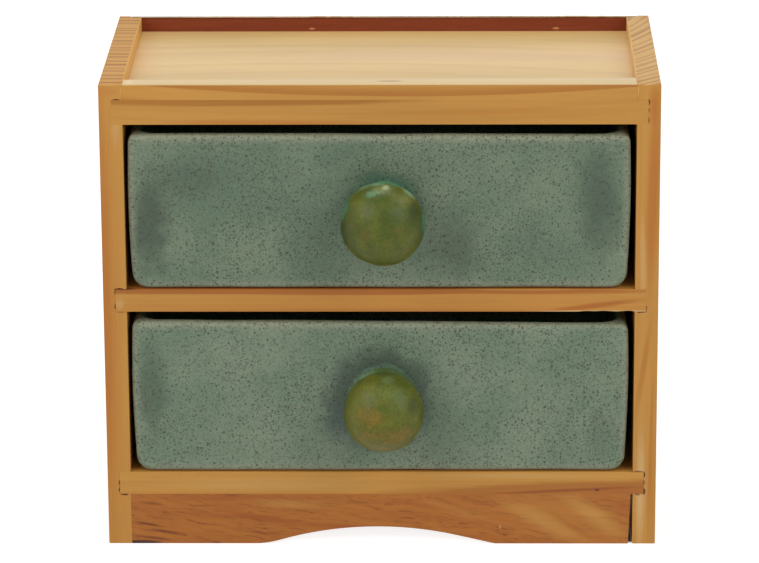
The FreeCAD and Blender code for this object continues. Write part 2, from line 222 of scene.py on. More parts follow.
def fibre_group():
    """Fine fibres, resin ducts and slow clouds, in board coordinates whose Z runs along the grain."""
    _, spot, out = new_group("wood_fibre", {}, ["Fibre", "Duct", "Cloud"])
    coarse = noise(stretched(spot, 0.9, 0.9, 0.03), 1.0, 3.0, 0.6)
    fine = noise(stretched(spot, 3.2, 3.2, 0.07), 1.0, 2.0, 0.6)
    duct = remap(noise(stretched(spot, 1.9, 1.9, 0.11), 1.0, 1.0), 0.69, 0.76)
    cloud = noise(stretched(spot, 0.03, 0.03, 0.009), 1.0)
    return feed(out, {"Fibre": plus(times(coarse, 0.6), times(fine, 0.4)), "Duct": duct, "Cloud": cloud})


def patch_group():
    """A soft-edged oval patch with a ragged outline. Sizes are in millimetres.

    Turn is in radians, and lifts the patch's right end.
    """
    sizes = {"Centre": (0, 0, 0), "Reach": (10.0, 10.0, 10.0), "Turn": 0.0, "Softness": 0.5}
    sizes |= {"Ragged": 0.3, "Rag Scale": (0.11, 0.11, 0.11)}
    given, spot, out = new_group("soft_patch", sizes, ["Mask"])
    away = turned(move("SUBTRACT", spot, given["Centre"]), given["Turn"])
    distance = length(move("DIVIDE", away, given["Reach"]))
    rag = minus(noise(move("MULTIPLY", spot, given["Rag Scale"]), 1.0, 3.0, 0.55), 0.5)
    distance = scaled(rag, given["Ragged"], distance)
    return feed(out, {"Mask": remap(distance, minus(1.0, given["Softness"]), 1.0, 1.0, 0.0)})


def streak_group():
    """Wavy dark streaks of resin and late wood, which run along Turn, in radians above level."""
    sizes = {"Turn": 0.0, "Length": 30.0, "Width": 3.0, "Waviness": 10.0}
    given, spot, out = new_group("wavy_streaks", sizes, ["Streak", "Body"])
    sway = move("SUBTRACT", noise(spot, 0.045, output=1), (0.5, 0.5, 0.5))
    wavy = turned(move("ADD", spot, resized(sway, given["Waviness"])), given["Turn"])
    size = joined(given["Length"], given["Width"], given["Width"])
    body = noise(move("DIVIDE", wavy, size), 1.0, 3.0, 0.6)
    return feed(out, {"Streak": remap(body, 0.5, 0.72), "Body": body})


def speckle_group():
    """Iron specks burnt through a glaze: dots of uneven size, some cells left empty.

    Core is how much of a dot is at full strength before it blurs into the glaze.
    """
    sizes = {"Pitch": 1.5, "Dot": 0.3, "Share": 0.6, "Core": 0.55}
    given, spot, out = new_group("iron_specks", sizes, ["Specks", "Shade"])
    jog = move("SUBTRACT", noise(spot, 1.3, 1.0, output=1), (0.5, 0.5, 0.5))
    spot = move("ADD", spot, stretched(jog, 0.5, 0.5, 0.5))
    cells = {"Vector": spot, "Scale": calc("DIVIDE", 1.0, given["Pitch"]), "Randomness": 1.0}
    cells = node("ShaderNodeTexVoronoi", cells)
    distance = times(cells["Distance"], given["Pitch"])
    lot = node("ShaderNodeSeparateColor", {0: cells["Color"]})
    size = times(given["Dot"], scaled(lot[0], 0.9, 0.55))
    dot = remap(distance, times(size, given["Core"]), size, 1.0, 0.0, "LINEAR")
    present = calc("LESS_THAN", lot[1], given["Share"])
    return feed(out, {"Specks": times(dot, present), "Shade": lot[2]})


RINGS = growth_ring_group()
FIBRE = fibre_group()
PATCH = patch_group()
SPECKS = speckle_group()
STREAKS = streak_group()


def new_material(name):
    """A new material, with its Principled shader and its surface's own coordinates."""
    material = bpy.data.materials.new(name)
    material.use_nodes = True
    tree = material.node_tree
    return material, tree.nodes["Principled BSDF"], node("ShaderNodeTexCoord", {}, tree)


def finish(shader, colour, rough, normal, specular=0.5):
    """Give a shader its colour, roughness and normal, and how strong its plain shine is."""
    feed(shader, {"Base Color": colour, "Roughness": rough, "Normal": normal})
    feed(shader, {"Specular IOR Level": specular})


def marked(colour, place, marks, rag_scale):
    """A colour with patches over it.

    A mark is (centre, reach, colour, strength, softness, ragged), in millimetres, and then the
    degrees that its right end is lifted by, if any.
    """
    for centre, reach, stain, strength, softness, ragged, *lift in marks:
        values = {"Vector": place, "Centre": centre, "Reach": reach, "Turn": math.radians(sum(lift))}
        values |= {"Softness": softness, "Ragged": ragged, "Rag Scale": rag_scale}
        colour = mix(times(use(PATCH, values)["Mask"], strength), colour, stain)
    return colour


# Wood


def board_coordinates(place, grain):
    """Object coordinates turned so that Z runs along the grain."""
    spot = axes(place["Object"])
    return joined(*(spot[axis] for axis in {"X": "YZX", "Z": "XYZ"}[grain]))


def wood(name, grain, colours, rings, marks=(), contrast=0.5, top_contrast=1.0, top=None, streaks=None):
    """Oiled softwood, from its early and late wood and its end grain's tint.

    rings holds the growth ring group's own values for this board. top_contrast is how much of the
    figure is left on faces that look up, and top is the early wood's colour there, paler as a
    painted sheen. streaks holds the streak group's own values.
    """
    material, shader, place = new_material(name)
    early, late, end_tint = colours
    along_grain, facing = board_coordinates(place, grain), axes(place["Normal"])
    end = remap(calc("ABSOLUTE", facing[grain]), 0.75, 0.95)
    figure = use(RINGS, {"Vector": along_grain, **rings})
    grain_of = use(FIBRE, {"Vector": along_grain})
    # Faces that look up take the top colour, a paler painted sheen.
    if top:
        early = mix(remap(facing["Z"], 0.6, 0.9), early, top)
    share = times(contrast, remap(facing["Z"], 0.6, 0.9, 1.0, top_contrast))
    deep = mix(end, late, (142, 70, 34))
    colour = mix(times(figure["Late Wood"], calc("MAXIMUM", share, end)), early, deep)
    if streaks:
        band = use(STREAKS, {"Vector": place["Object"], **streaks})
        colour = mix(times(band["Body"], 0.7), colour, late)
        fine = {"Turn": streaks["Turn"], "Length": 15.0, "Width": 0.8, "Waviness": 6.0}
        fleck = use(STREAKS, {"Vector": place["Object"], **fine})
        crowd = times(fleck["Streak"], remap(band["Body"], 0.4, 0.62, 0.1, 0.8))
        colour = mix(crowd, colour, (104, 46, 14))
    rag_scale = (0.014, 0.09, 0.16) if grain == "X" else (0.16, 0.09, 0.014)
    colour = marked(colour, place["Object"], marks, rag_scale)
    tone = times(scaled(grain_of["Fibre"], 0.26, 0.87), scaled(grain_of["Cloud"], 0.2, 0.9))
    colour = toned(colour, times(tone, scaled(figure["Ring Tone"], 0.05, 0.975)))
    colour = mix(end, colour, end_tint, "MULTIPLY")
    colour = mix(times(grain_of["Duct"], scaled(end, -0.2, 0.2)), colour, late)
    rough = scaled(end, 0.4, scaled(grain_of["Fibre"], 0.16, 0.4))
    height = scaled(figure["Late Wood"], 0.5, grain_of["Fibre"])
    normal = bump(minus(height, times(grain_of["Duct"], 0.6)), 0.3, 0.1 * MM)
    finish(shader, colour, rough, normal, 0.4)
    return material


# Meshes

SHARP = 0.92  # how much of its easing a front edge loses where it's level with its neighbour
SAME = 1e-6  # points closer together than this are one point


def eased_outline(corners, ease, pitch):
    """A closed outline with points along its straight runs.

    Each corner is rounded by an arc that leaves its sides at the ease's length from the corner.
    """
    corners = [Vector(c) for c in corners]
    points = []
    for before, corner, after in zip(corners[-1:] + corners, corners, corners[1:] + corners):
        start, end = (corner + (other - corner).normalized() * ease for other in (before, after))
        for share in (0, 1 / 3, 2 / 3, 1):
            points.append(start.lerp(corner, share).lerp(corner.lerp(end, share), share))
        run = after - corner
        pieces = max(1, round((run.length - 2 * ease) / pitch))
        points += [end.lerp(after - run.normalized() * ease, k / pieces) for k in range(1, pieces)]
    return np.array([tuple(p) for p in points])


def drawn_in(outline, amount):
    """The outline moved inwards, where it runs anticlockwise."""
    ahead = np.roll(outline, -1, axis=0) - outline
    behind = outline - np.roll(outline, 1, axis=0)
    run = sum(way / np.linalg.norm(way, axis=1)[:, None] for way in (ahead, behind))
    run /= np.linalg.norm(run, axis=1)[:, None]
    return outline + np.stack([-run[:, 1], run[:, 0]], axis=1) * amount


def prism(stations):
    """A closed mesh through outlines in X and Z, each at its own Y from front to back."""
    mesh = bmesh.new()
    rows = []
    for outline, depth in stations:
        depths = np.broadcast_to(depth, len(outline))
        rows.append([mesh.verts.new((x, y, z)) for (x, z), y in zip(outline, depths)])
    for front, back in zip(rows, rows[1:]):
        for corners in zip(front, back, back[1:] + back[:1], front[1:] + front[:1]):
            mesh.faces.new(corners)
    mesh.faces.new(rows[0])
    mesh.faces.new(rows[-1][::-1])
    bmesh.ops.recalc_face_normals(mesh, faces=mesh.faces)
    return mesh


def in_scene(name, data):
    thing = bpy.data.objects.new(name, data)
    bpy.context.scene.collection.objects.link(thing)
    return thing


def as_made(thing):
    """A new mesh with an object's modifiers applied."""
    graph = bpy.context.evaluated_depsgraph_get()
    return bpy.data.meshes.new_from_object(thing.evaluated_get(graph))


def loosened(data):
    """A mesh turned into a bmesh."""
    mesh = bmesh.new()
    mesh.from_mesh(data)
    bpy.data.meshes.remove(data)
    return mesh


def finish_piece(name, mesh, material, body, nodes, smooth=40):
    """Turn a bmesh into a named piece that stands for its CAD nodes and rides on their body.

    The broad faces that close a board, which alone have over four corners, stay flat, so that its
    eased edges don't shade them.
    """
    data = bpy.data.meshes.new(name)
    mesh.to_mesh(data)
    mesh.free()
    data.materials.append(material)
    piece = in_scene(name, data)
    data.shade_smooth()
    data.set_sharp_from_angle(angle=math.radians(smooth))
    for face in data.polygons:
        face.use_smooth = len(face.vertices) < 5
    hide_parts(*nodes)
    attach(piece, body)


def eased_front(outline, worn, front, ease, flush):
    """A board's outlines from its front face to where its eased front edges end."""
    left = np.broadcast_to(1 - SHARP * np.asarray(flush), len(outline))[:, None]
    face, shoulder = (worn - outline + drawn_in(outline, ease * part * left) for part in (0.5, 0.15))
    half, little = (front + ease * part * left[:, 0] for part in (0.5, 0.15))
    return [(face, front), (shoulder, little), (worn, half)]


def rectangle(low, high):
    """The corners of a node's box seen from the front, anticlockwise."""
    return [(low[0], low[2]), (high[0], low[2]), (high[0], high[2]), (low[0], high[2])]


# Case boards

EASE = 0.45 * MM
THIN_EASE = 0.3 * MM
SLACK = 0.3 * MM  # how far a dado or a rabbet is cut past what sits in it
CLOSED = 0.27 * MM  # how much of that is closed again at the front of a dado's blind end
NEAR = 0.1 * MM  # points this near to an edge or a face are on it
SHELVES = ("bottom_shelf", "middle_shelf", "top_panel")

# Where the dados' edges were torn by the saw at the front: (x, z, reach, depth) in millimetres
TEARS = {
    "left": [
        (-133.4, 239.3, 2.6, 0.4),
        (-134.2, 138.9, 2.9, 0.7), (-136.5, 137.2, 1.6, 0.3),
        (-136.5, 129.6, 1.7, 0.35), (-133.5, 126.8, 2.6, 0.2),
        (-136.5, 33.5, 1.8, 0.3), (-136.5, 29.6, 1.6, 0.35), (-134.2, 27.4, 2.4, 0.6),
    ],
    "right": [
        (136.5, 237.8, 1.7, 0.4), (136.5, 233.6, 1.1, 0.2), (136.5, 228.2, 1.5, 0.35),
        (134.0, 126.8, 2.9, 0.75), (136.4, 129.0, 1.2, 0.25),
        (136.5, 38.2, 2.0, 0.4), (136.5, 33.8, 1.8, 0.25), (136.5, 29.0, 2.0, 0.5),
        (133.2, 39.6, 2.6, 0.4), (133.0, 27.4, 1.6, 0.35),
    ],
}


def side_corners(side):
    """The front outline of a side panel, anticlockwise, with its three dados."""
    low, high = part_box(f"{side}_side_panel")
    inner, outer = (high[0], low[0]) if side == "left" else (low[0], high[0])
    notches = []
    for shelf in reversed(SHELVES):
        bottom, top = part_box(shelf)
        blind = math.copysign(abs(bottom[0]) + SLACK, inner)
        notches += [(inner, top[2]), (blind, top[2]), (blind, bottom[2]), (inner, bottom[2])]
    corners = [(inner, low[2]), (outer, low[2]), (outer, high[2]), (inner, high[2]), *notches]
    return corners if side == "right" else corners[::-1]


def smooth_step(values, low, high):
    share = np.clip((values - low) / (high - low), 0, 1)
    return share * share * (3 - 2 * share)


def slow_noise(places, size, seed):
    """A smooth value from 0 to 1 at each place, from a few sine waves of about one size."""
    lots = np.random.default_rng(seed)
    total = np.zeros(len(places))
    waves = 9
    for _ in range(waves):
        way = lots.normal(size=places.shape[1])
        way /= np.linalg.norm(way) * size * lots.uniform(0.7, 1.6)
        total += np.sin(places @ way * 2 * math.pi + lots.uniform(0, 6.28))
    return np.clip(0.5 + total / waves, 0, 1)


def torn(outline, tears, seed):
    """How far the front edge is drawn back into the wood at each point of an outline."""
    lots = slow_noise(outline, 1.8 * MM, seed)
    depth = np.zeros(len(outline))
    for x, z, reach, tear in tears:
        away = np.hypot(*(outline - (x * MM, z * MM)).T) / (reach * MM)
        depth = np.maximum(depth, (1 - smooth_step(away, 0.6, 1.0)) * tear)
    return depth * (0.45 + 0.8 * lots) * MM


def side_panel(side, material, seed):
    """A side board with its dados, and the rabbet for the back panel."""
    name = f"{side}_side_panel"
    low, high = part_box(name)
    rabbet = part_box("back_panel")
    outline = eased_outline(side_corners(side), EASE, pitch=0.9 * MM)
    out = np.abs(outline[:, 0])
    joint, tight = np.zeros(len(outline)), np.zeros(len(outline))
    for shelf in SHELVES:
        bottom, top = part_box(shelf)
        blind = abs(bottom[0]) + SLACK
        here = (outline[:, 1] > bottom[2] - NEAR) & (outline[:, 1] < top[2] + NEAR) & (out < blind + NEAR)
        joint[here & (out - out.min() > NEAR / 2)] = 1
        tight[here & (out > blind - NEAR / 2)] = CLOSED
    into_wood = (drawn_in(outline, MM) - outline) / MM
    worn = outline + into_wood * (torn(outline, TEARS[side], seed) - tight)[:, None]

    def behind(inset):
        sides = (abs(rabbet[1][0]) + SLACK + inset, out.max() - inset)
        x = np.clip(outline[:, 0], *sorted(math.copysign(reach, low[0]) for reach in sides))
        z = np.clip(outline[:, 1], low[2] + inset, high[2] - inset)
        return np.stack([x, z], axis=1)

    mesh = prism([
        *eased_front(outline, worn, low[1], EASE, joint),
        (outline, low[1] + 4 * MM),
        (outline, rabbet[0][1]),
        (behind(0.0), rabbet[0][1]),
        (behind(0.0), high[1] - EASE),
        (behind(EASE), high[1]),
    ])
    bmesh.ops.dissolve_degenerate(mesh, dist=SAME, edges=mesh.edges)
    bmesh.ops.recalc_face_normals(mesh, faces=mesh.faces)
    finish_piece(f"{side}_side_board", mesh, material, "case", [name])


def splintered(outline, low, spans, seed):
    """An outline whose lower edge has lost splinters along some spans: (from x, to x, depth)."""
    lots = slow_noise(outline, 6 * MM, seed)
    worn = outline.copy()
    x, z = outline.T
    fade = 3 * MM
    for start, end, depth in spans:
        share = smooth_step(x, start, start + fade) * smooth_step(-x, -end, fade - end)
        worn[:, 1] += np.where(z < low + 3 * NEAR, depth * lots * share, 0)
    return worn


def level_with(edges, outline, low, high):
    """1 at the points of an outline on the edges that meet a neighbour, 0 elsewhere."""
    x, z = outline.T
    dados = abs(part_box("right_side_panel")[0][0]) - 2 * NEAR
    places = {"left": x < low[0] + NEAR, "right": x > high[0] - NEAR, "dados": np.abs(x) > dados}
    places |= {"bottom": z < low[2] + NEAR, "top": z > high[2] - NEAR}
    return np.any([places[edge] for edge in edges], axis=0).astype(float)


def board(name, node_name, material, outline, ease=EASE, edges=(), worn=None, left_depth=None):
    """A sawn board from its front to its back, with eased edges.

    edges names those that meet a neighbour and were sanded level with it, so that they stay sharp
    at the front. worn is the outline at the front edge where splinters have left it. left_depth is
    how far back the board reaches at its left end, where that isn't as far as at its right.
    """
    low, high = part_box(node_name)
    left = high[1] if left_depth is None else left_depth
    front, back = low[1], (left + high[1]) / 2
    slant = (high[1] - left) / (high[0] - low[0])

    def depth(points, share):
        return front + share * (back - front + slant * (points[:, 0] - outline[:, 0].mean()))

    flush = level_with(edges, outline, low, high) if edges else 0.0
    stations = eased_front(outline, outline if worn is None else worn, front, ease, flush)
    stations += [(outline, front + min(3 * MM, (back - front) / 4)), (outline, depth(outline, 0.5))]
    for inset, rise in ((0, 0.5), (0.15, 0.15), (0.5, 0)):
        points = drawn_in(outline, ease * inset)
        stations.append((points, depth(points, 1) - ease * rise))
    finish_piece(name, prism(stations), material, "case", [node_name])


def shelf_board(name, node_name, material, edges=("dados",), spans=(), seed=1):
    """A shelf let into the dados, with the spans where its lower edge is splintered."""
    low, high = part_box(node_name)
    outline = eased_outline(rectangle(low, high), EASE, pitch=1.8 * MM)
    worn = splintered(outline, low[2], spans, seed)
    board(name, node_name, material, outline, edges=edges, worn=worn)


def lip_strip(material):
    """The strip along the tray's front edge, less deep at its left end."""
    low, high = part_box("top_front_lip")
    places = [v.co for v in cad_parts["top_front_lip"].data.vertices]
    left = max(co.y for co in places if co.x < low[0] + NEAR)
    outline = eased_outline(rectangle(low, high), EASE, pitch=4 * MM)
    edges = ("left", "right", "bottom")
    board("tray_lip", "top_front_lip", material, outline, edges=edges, left_depth=left)


def apron_board(material):
    """The apron, on the outline of its CAD node's front face."""
    low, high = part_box("front_apron")
    places = [v.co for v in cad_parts["front_apron"].data.vertices]
    face = {(round(co.x, 6), round(co.z, 6)) for co in places if co.y < low[1] + NEAR}
    lower = sorted(point for point in face if point[1] < high[2] - MM)
    corners = [*lower, (high[0], high[2]), (low[0], high[2])]
    outline = eased_outline(corners, THIN_EASE, pitch=3 * MM)
    board("arched_apron", "front_apron", material, outline, THIN_EASE, ("left", "top"))


def back_sheet(material):
    """The thin back panel, its top edge torn a little by the saw."""
    low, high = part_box("back_panel")
    lots = np.random.default_rng(5)
    ease = 0.2 * MM
    outline = eased_outline(rectangle(low, high), ease, pitch=2 * MM)
    top = outline[:, 1] > high[2] - NEAR
    wave = 0.5 + 0.25 * np.sin(outline[:, 0] * 41) + 0.2 * np.sin(outline[:, 0] * 97 + 1)
    outline[top, 1] -= (wave[top] * 0.5 + lots.uniform(0, 0.35, top.sum()) ** 2 * 2) * MM
    board("back_sheet", "back_panel", material, outline, ease)


# Geometry Nodes


def geometry_group(name, kinds):
    """A Geometry Nodes tree with named inputs of given kinds. Returns its inputs and its output node."""
    tree = bpy.data.node_groups.new(name, "GeometryNodeTree")
    tree.interface.new_socket("Geometry", in_out="OUTPUT", socket_type="NodeSocketGeometry")
    for label, kind in {"Geometry": "Geometry", **kinds}.items():
        tree.interface.new_socket(label, in_out="INPUT", socket_type=f"NodeSocket{kind}")
    return tree.nodes.new("NodeGroupInput").outputs, tree.nodes.new("NodeGroupOutput")


def finish_group(out, shape, material):
    """End a Geometry Nodes tree: its instances made real, and its material set. Returns the tree."""
    real = node("GeometryNodeRealizeInstances", {0: shape})[0]
    return feed(out, {0: node("GeometryNodeSetMaterial", {"Geometry": real, "Material": material})[0]})


def grown(name, data, tree, values):
    """The mesh that a Geometry Nodes tree makes from some data, with its inputs set by identifier."""
    maker = in_scene(name, data)
    modifier = maker.modifiers.new("Maker", "NODES")
    modifier.node_group = tree
    for socket in tree.interface.items_tree:
        if socket.in_out == "INPUT" and socket.name in values:
            modifier[socket.identifier] = values[socket.name]
    data = as_made(maker)
    bpy.data.objects.remove(maker)
    return loosened(data)


def brad_tree():
    """A shank and a chamfered head at every point, each turned by its own angle about Y."""
    sizes = ("Shank Radius", "Head Radius", "Head Height", "Length")
    kinds = {**dict.fromkeys(sizes, "Float"), "Material": "Material", "Seed": "Int"}
    given, out = geometry_group("brads", kinds)
    shank = {"Vertices": 16, "Radius": given["Shank Radius"], "Depth": given["Length"]}
    shank = node("GeometryNodeMeshCylinder", shank)["Mesh"]
    head = {"Vertices": 24, "Radius Top": times(given["Head Radius"], 0.86)}
    head |= {"Radius Bottom": given["Head Radius"], "Depth": given["Head Height"]}
    head = node("GeometryNodeMeshCone", head)["Mesh"]
    brad = out.id_data.nodes.new("GeometryNodeJoinGeometry")
    for part, rise in ((head, times(given["Head Height"], -1.0)), (shank, times(given["Length"], -0.5))):
        moved = {"Geometry": part, "Translation": joined(0, 0, rise)}
        feed(brad, {0: node("GeometryNodeTransform", moved)[0]})
    turn = node("FunctionNodeRandomValue", {"Max": 6.28, "Seed": given["Seed"]}, data_type="FLOAT")[1]
    rotation = {0: (-math.pi / 2, 0, 0), 1: joined(0, 0, turn)}
    rotation = node("FunctionNodeRotateEuler", rotation, rotation_type="EULER", space="LOCAL")[0]
    placed = {"Points": given["Geometry"], "Instance": brad.outputs[0], "Rotation": rotation}
    placed = node("GeometryNodeInstanceOnPoints", placed)[0]
    return finish_group(out, placed, given["Material"])


def turning_tree():
    """A turned form: a profile's points along an axis, each with its own radius, swept round it.

    The clay is then pressed in a little here and there, never out past the profile.
    """
    kinds = {"Segments": "Int", **dict.fromkeys(("Press Depth", "Press Size", "Seed"), "Float")}
    given, out = geometry_group("turned_clay", {**kinds, "Material": "Material"})
    tree = out.id_data
    radius = node("GeometryNodeInputNamedAttribute", {"Name": "radius"}, tree, data_type="FLOAT")[0]
    curve = node("GeometryNodeMeshToCurve", {"Mesh": given["Geometry"]})[0]
    curve = node("GeometryNodeSetCurveRadius", {"Curve": curve, "Radius": radius})[0]
    ring = node("GeometryNodeCurvePrimitiveCircle", {"Resolution": given["Segments"], "Radius": 1.0})[0]
    swept = {"Curve": curve, "Profile Curve": ring, "Scale": radius, "Fill Caps": True}
    swept = node("GeometryNodeCurveToMesh", swept)[0]
    lump = {"Vector": node("GeometryNodeInputPosition", {}, tree)[0], "W": given["Seed"], "Detail": 1.0}
    lump["Scale"] = calc("DIVIDE", 1.0, given["Press Size"])
    lump = node("ShaderNodeTexNoise", lump, noise_dimensions="4D")[0]
    press = times(remap(lump, 0.3, 0.7, 1.0, 0.0), given["Press Depth"], -1.0)
    inward = resized(node("GeometryNodeInputNormal", {}, tree)[0], press)
    pressed = node("GeometryNodeSetPosition", {"Geometry": swept, "Offset": inward})[0]
    return finish_group(out, pressed, given["Material"])


BRADS = brad_tree()
TURNED = turning_tree()


def back_brads(material):
    """The brads that hold the back panel: three down each side and two into each shelf."""
    sides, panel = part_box("right_side_panel"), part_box("back_panel")
    column = (sides[0][0] + panel[1][0] + SLACK) / 2
    from_middle = 65 * MM
    bottoms, tops = zip(*((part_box(shelf)[0][2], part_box(shelf)[1][2]) for shelf in SHELVES))
    beside = [(below + above) / 2 for below, above in zip((0.0, *tops), bottoms)]
    levels = [(bottom + top) / 2 for bottom, top in zip(bottoms, tops)]
    places = [(sign * column, z) for sign in (1, -1) for z in beside]
    places += [(sign * from_middle, z) for sign in (1, -1) for z in levels]
    data = bpy.data.meshes.new("brad_places")
    data.from_pydata([(x, panel[1][1], z) for x, z in places], [], [])
    values = {"Shank Radius": 0.6 * MM, "Head Radius": 1.1 * MM, "Head Height": 0.8 * MM}
    values |= {"Length": 16 * MM, "Material": material, "Seed": 4}
    mesh = grown("brad_maker", data, BRADS, values)
    finish_piece("panel_brads", mesh, material, "case", ["back_panel_brads"])


# Drawers

# A knob's profile, in millimetres out from the drawer's face and round its axis
KNOB_REACH = 37.5
BELLY_REACH = 20.5
BELLY_ROUND = 14.0
NECK_ROUND = 7.5
FOOT_RADIUS = 17.0

TUB_WALL = 7 * MM


def heading(start, end):
    """The angle of the way from one point to another."""
    return math.atan2(end.y - start.y, end.x - start.x)


def knob_profile(radius):
    """Points (how far out from the face, radius) in millimetres, from the nose to inside the face."""
    belly = Vector((BELLY_REACH, radius - BELLY_ROUND))
    foot = Vector((0.0, FOOT_RADIUS))
    nose = KNOB_REACH - BELLY_REACH
    cap_radius = (nose**2 + belly.y**2 - BELLY_ROUND**2) / (2 * (nose - BELLY_ROUND))
    cap = Vector((KNOB_REACH - cap_radius, 0.0))
    span = belly - foot
    along = (NECK_ROUND**2 - (BELLY_ROUND + NECK_ROUND) ** 2 + span.length_squared) / (2 * span.length)
    off = math.sqrt(NECK_ROUND**2 - along**2)
    run = span.normalized()
    neck = foot + run * along + Vector((-run.y, run.x)) * off
    cap_end, belly_end = heading(cap, belly), heading(belly, neck)
    neck_end = heading(neck, foot)
    if neck_end < 0:
        neck_end += 2 * math.pi
    arcs = [(cap, cap_radius, 0.0, cap_end, 26), (belly, BELLY_ROUND, cap_end, belly_end, 40)]
    arcs.append((neck, NECK_ROUND, belly_end + math.pi, neck_end, 12))
    points = []
    for centre, reach, start, end, steps in arcs:
        for step in range(steps):
            turn = start + (end - start) * (step + 0.02) / steps
            points.append((centre.x + reach * math.cos(turn), centre.y + reach * math.sin(turn)))
    return [*points, (0.0, FOOT_RADIUS), (-1.2, FOOT_RADIUS + 0.4)]


def drawer_knob(level, material, radius, seed, press):
    """A knob thrown as a flattened ball and luted on to the drawer's face.

    radius is its ball's, and press is how deep fingers pressed it in, both in millimetres.
    """
    node_name = f"{level}_drawer_knob"
    low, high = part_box(node_name)
    x, z = (low[0] + high[0]) / 2, (low[2] + high[2]) / 2
    points = knob_profile(radius)
    count = len(points)
    data = bpy.data.meshes.new(f"{level}_profile")
    data.from_pydata([(0, 0, out * MM) for out, _ in points], list(zip(range(count), range(1, count))), [])
    radii = data.attributes.new("radius", "FLOAT", "POINT")
    radii.data.foreach_set("value", [max(r, 0.01) * MM for _, r in points])
    values = {"Segments": 112, "Press Depth": press * MM, "Press Size": 13 * MM}
    values |= {"Material": material, "Seed": seed}
    mesh = grown(f"{level}_knob_maker", data, TURNED, values)
    turn = Matrix.Translation((x, high[1], z)) @ Matrix.Rotation(math.pi / 2, 4, "X")
    bmesh.ops.transform(mesh, matrix=turn, verts=mesh.verts)
    bmesh.ops.remove_doubles(mesh, verts=mesh.verts, dist=SAME)
    bmesh.ops.recalc_face_normals(mesh, faces=mesh.faces)
    finish_piece(f"{level}_knob", mesh, material, f"{level}_drawer", [node_name], 60)


def smooth_clay(level, node_name):
    """A tub's CAD form with its facets gone: an even skin of small faces, drawn on to it."""
    rough = bmesh.new()
    rough.from_mesh(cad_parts[node_name].data)
    bmesh.ops.remove_doubles(rough, verts=rough.verts, dist=SAME)
    data = bpy.data.meshes.new(f"{level}_form")
    rough.to_mesh(data)
    rough.free()
    form, clay = (in_scene(f"{level}_{part}", data) for part in ("form", "clay"))
    remesh = clay.modifiers.new("Remesh", "REMESH")
    remesh.mode = "VOXEL"
    remesh.voxel_size = 1.7 * MM
    clay.modifiers.new("Wrap", "SHRINKWRAP").target = form
    made = as_made(clay)
    for part in (form, clay):
        bpy.data.objects.remove(part)
    return made


def drawer_tub(level, material, seed):
    """A stoneware tub on its CAD node's form, left slightly uneven by hand.

    Its attributes say where the glaze is worn at an edge, paler at the rim, partly as a painted sheen from
    above, or wiped off the foot.
    """
    node_name = f"{level}_drawer_tub"
    low, high = (np.array(corner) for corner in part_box(node_name))
    data = smooth_clay(level, node_name)
    places, normals = (np.empty(len(data.vertices) * 3) for _ in range(2))
    data.vertices.foreach_get("co", places)
    data.vertex_normals.foreach_get("vector", normals)
    places, normals = places.reshape(-1, 3), normals.reshape(-1, 3)

    within, above = np.minimum(places - low, high - places), places[:, 2] - low[2]
    mouth = np.minimum(within[:, 0], within[:, 1])
    inside = math.prod(smooth_step(away, TUB_WALL * 0.6, TUB_WALL * 0.95) for away in (mouth, above))
    worn = (1 - smooth_step(np.sort(within, axis=1)[:, 1], 1.2 * MM, 5.5 * MM)) * (1 - inside)
    rim = 1 - smooth_step(high[2] - places[:, 2], 0.5 * MM, 6.5 * MM)
    bare = (1 - smooth_step(above, 0.1 * MM, 0.9 * MM)) * (normals[:, 2] < -0.7)
    press = slow_noise(places, 0.07, seed) * 0.35 + slow_noise(places, 0.028, seed + 1) * 0.12
    places = places - normals * (press * MM)[:, None]
    places[:, 2] -= rim * slow_noise(places * (1, 1, 0), 0.11, seed + 2) * 0.35 * MM
    data.vertices.foreach_set("co", places.ravel())
    for label, values in (("worn", worn), ("rim", rim), ("bare", bare)):
        data.attributes.new(label, "FLOAT", "POINT").data.foreach_set("value", values.astype(np.float32))
    mesh = loosened(data)
    finish_piece(f"{level}_tub", mesh, material, f"{level}_drawer", [node_name], 80)


# Glazes


def specks(place, pitch, dot, share, core):
    return use(SPECKS, {"Vector": place, "Pitch": pitch, "Dot": dot, "Share": share, "Core": core})


def celadon(name, ground, patches, pale_rim):
    """Satin celadon over iron-rich stoneware: clouded, specked, and thin and warm where it breaks."""
    material, shader, place = new_material(name)
    place = place["Object"]
    spot = in_mm(place)
    worn, rim, bare = (
        node("ShaderNodeAttribute", {}, material.node_tree, attribute_name=label)["Fac"]
        for label in ("worn", "rim", "bare")
    )
    colour = mix(remap(noise(spot, 0.024, 3.0, 0.6), 0.34, 0.66), *ground)
    colour = marked(colour, place, patches, (0.11, 0.11, 0.11))
    mottle = noise(spot, 0.25, 3.0, 0.65)
    colour = mix(times(worn, scaled(mottle, 0.5, 0.3)), colour, (146, 148, 124))
    # The rim's pale band is partly the glaze and partly a painted sheen from above.
    colour = mix(times(rim, pale_rim), colour, (176, 178, 150))
    rusty = remap(noise(spot, 0.7, 1.0), 0.5, 0.72, 0.0, 0.35)
    colour = mix(rusty, colour, (96, 92, 78))
    grain = noise(spot, 0.95, 2.0, 0.6)
    colour = toned(colour, scaled(grain, 0.5, scaled(mottle, 0.34, 0.58)))
    fine, bold = specks(place, 1.0, 0.5, 0.7, 0.1), specks(place, 1.7, 0.62, 0.55, 0.2)
    crowd = remap(noise(spot, 0.06), 0.3, 0.6, 0.4, 0.9)
    colour = mix(times(fine["Specks"], crowd), colour, (62, 64, 50))
    iron = mix(bold["Shade"], (40, 40, 32), (74, 56, 44))
    colour = mix(times(bold["Specks"], 0.85), colour, iron)
    colour = mix(bare, colour, (168, 140, 110))
    rough = scaled(bold["Specks"], 0.12, scaled(mottle, 0.2, 0.4))
    normal = bump(minus(noise(spot, 0.5), times(bold["Specks"], 0.5)), 0.3, 0.15 * MM)
    finish(shader, colour, scaled(bare, 0.35, rough), normal)
    return material


